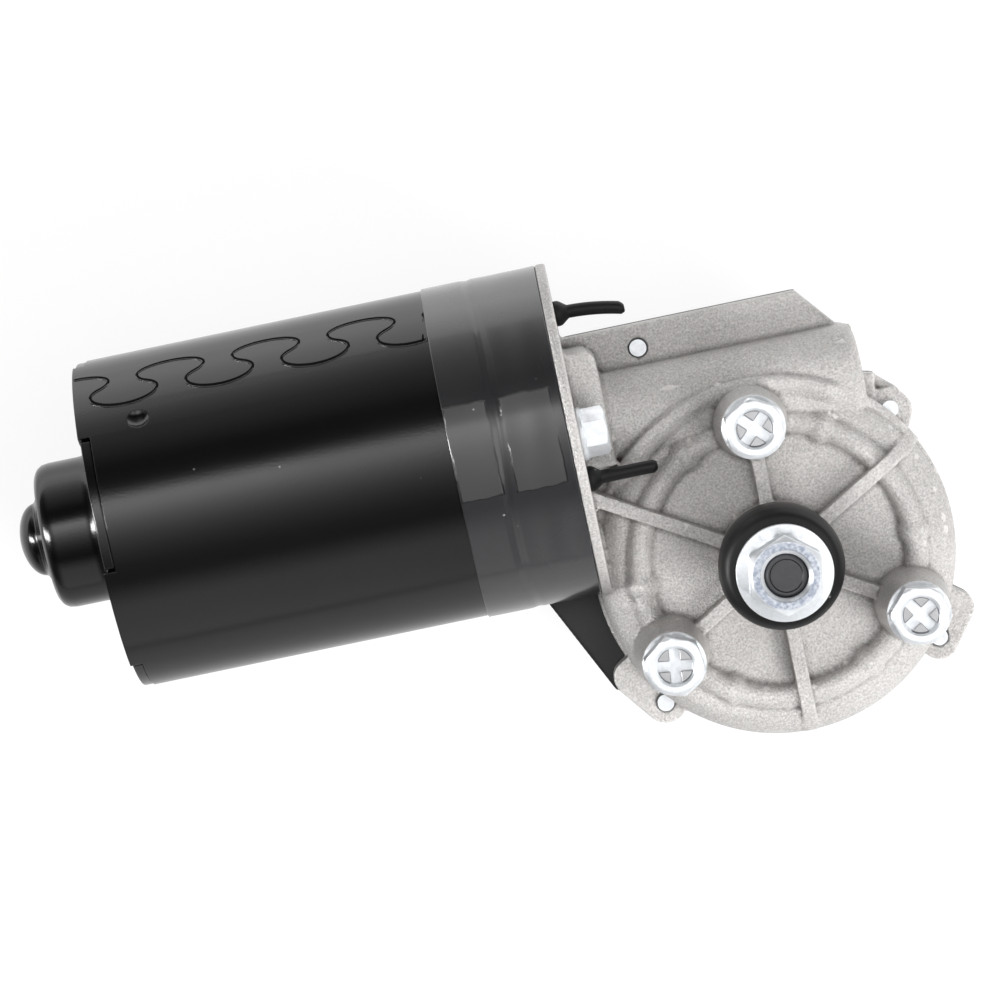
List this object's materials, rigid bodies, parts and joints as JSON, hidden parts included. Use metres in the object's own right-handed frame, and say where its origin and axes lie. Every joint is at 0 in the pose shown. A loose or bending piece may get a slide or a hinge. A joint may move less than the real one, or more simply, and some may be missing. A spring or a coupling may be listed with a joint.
{
  "type": "wiper motor",
  "caption": "Geared electric wiper motor: black tube motor with a worm drive in a cast housing, three-bolt mount, flanged shaft nut and connector cover.",
  "frame": {"origin": "on the output shaft's axis, in the plane of the three mounting-boss faces", "axes": "+Z out along the output shaft, +X along the motor axis from the tube to the worm's free end, +Y from the output shaft towards the motor axis"},
  "size_m": [0.1736, 0.0971, 0.0687],
  "materials": {
    "cast_aluminium": "die-cast, fine grain, not machined",
    "black_paint": "semi-gloss black paint over pressed steel",
    "grey_film": "satin shrink film",
    "black_plastic": "moulded, fine texture",
    "zinc_plate": "bright zinc plate",
    "dark_steel": "ground, oiled",
    "plain_steel": "pressed sheet",
    "spring_steel": "drawn wire",
    "black_rubber": "moulded, satin",
    "bronze": "sintered",
    "bright_brass": "pressed sheet",
    "copper": "enamelled wire and bare segments",
    "ferrite": "sintered, ground",
    "carbon": "pressed carbon",
    "brown_phenolic": "moulded phenolic",
    "white_acetal": "moulded acetal",
    "orange_resin": "dipped resin",
    "cream_case": "moulded"
  },
  "bodies": {
    "frame": {"gear_housing": "cast_aluminium", "gear_cover": "black_plastic", "cover_gasket": "black_rubber", "cover_screws": "zinc_plate", "connector_shell": "black_plastic", "terminal_pins": "bright_brass", "contact_board": "brown_phenolic", "park_contacts": "bright_brass", "upper_output_bush": "bronze", "lower_output_bush": "bronze", "mounting_bolts": "zinc_plate", "tie_screws": "zinc_plate", "upper_vent_pipe": "black_rubber", "lower_vent_pipe": "black_rubber", "motor_tube": "black_paint", "end_bell": "black_paint", "rear_bearing": "bronze", "bearing_retainer": "plain_steel", "magnets": "ferrite", "magnet_clips": "plain_steel", "tube_gasket": "black_rubber", "seal_band": "grey_film", "front_plate": "plain_steel", "worm_bearing": "bronze", "nose_bush": "bronze", "thrust_pad": "dark_steel", "brush_plate": "brown_phenolic", "brush_holder_front": "bright_brass", "brush_holder_back": "bright_brass", "brush_spring_front": "spring_steel", "brush_spring_back": "spring_steel", "choke_front": "copper", "choke_back": "copper", "capacitor": "orange_resin", "circuit_breaker": "cream_case"},
    "armature": {"worm_shaft": "dark_steel", "lamination_core": "plain_steel", "armature_windings": "copper", "shaft_collars": "brown_phenolic", "commutator_segments": "copper", "commutator_hub": "brown_phenolic", "armature_washers": "plain_steel", "thrust_ball": "dark_steel"},
    "output": {"worm_wheel": "white_acetal", "park_disc": "bright_brass", "output_shaft": "dark_steel", "output_washers": "plain_steel", "circlip": "dark_steel", "dust_cap": "black_rubber", "shaft_nut": "zinc_plate"},
    "brush_front": {"brush_front": "carbon"},
    "brush_back": {"brush_back": "carbon"}
  },
  "joints": [
    {"name": "armature_spin", "type": "hinge", "parent": "frame", "child": "armature", "pos_m": [0, 0.0312, -0.0227], "axis": [1, 0, 0], "continuous": true},
    {"name": "output_spin", "type": "hinge", "parent": "frame", "child": "output", "pos_m": [0, 0, 0], "axis": [0, 0, 1], "continuous": true},
    {"name": "brush_front_slide", "type": "slide", "parent": "frame", "child": "brush_front", "axis": [0, 0, 1], "range_m": [0, 0.003], "stiffness_N_per_m": 300, "springref_m": -0.01, "deforming": ["brush_spring_front"]},
    {"name": "brush_back_slide", "type": "slide", "parent": "frame", "child": "brush_back", "axis": [0, 0, -1], "range_m": [0, 0.003], "stiffness_N_per_m": 300, "springref_m": -0.01, "deforming": ["brush_spring_back"]}
  ],
  "couplings": [
    {"joint": "output_spin", "follows": "armature_spin", "ratio": 0.018519}
  ]
}
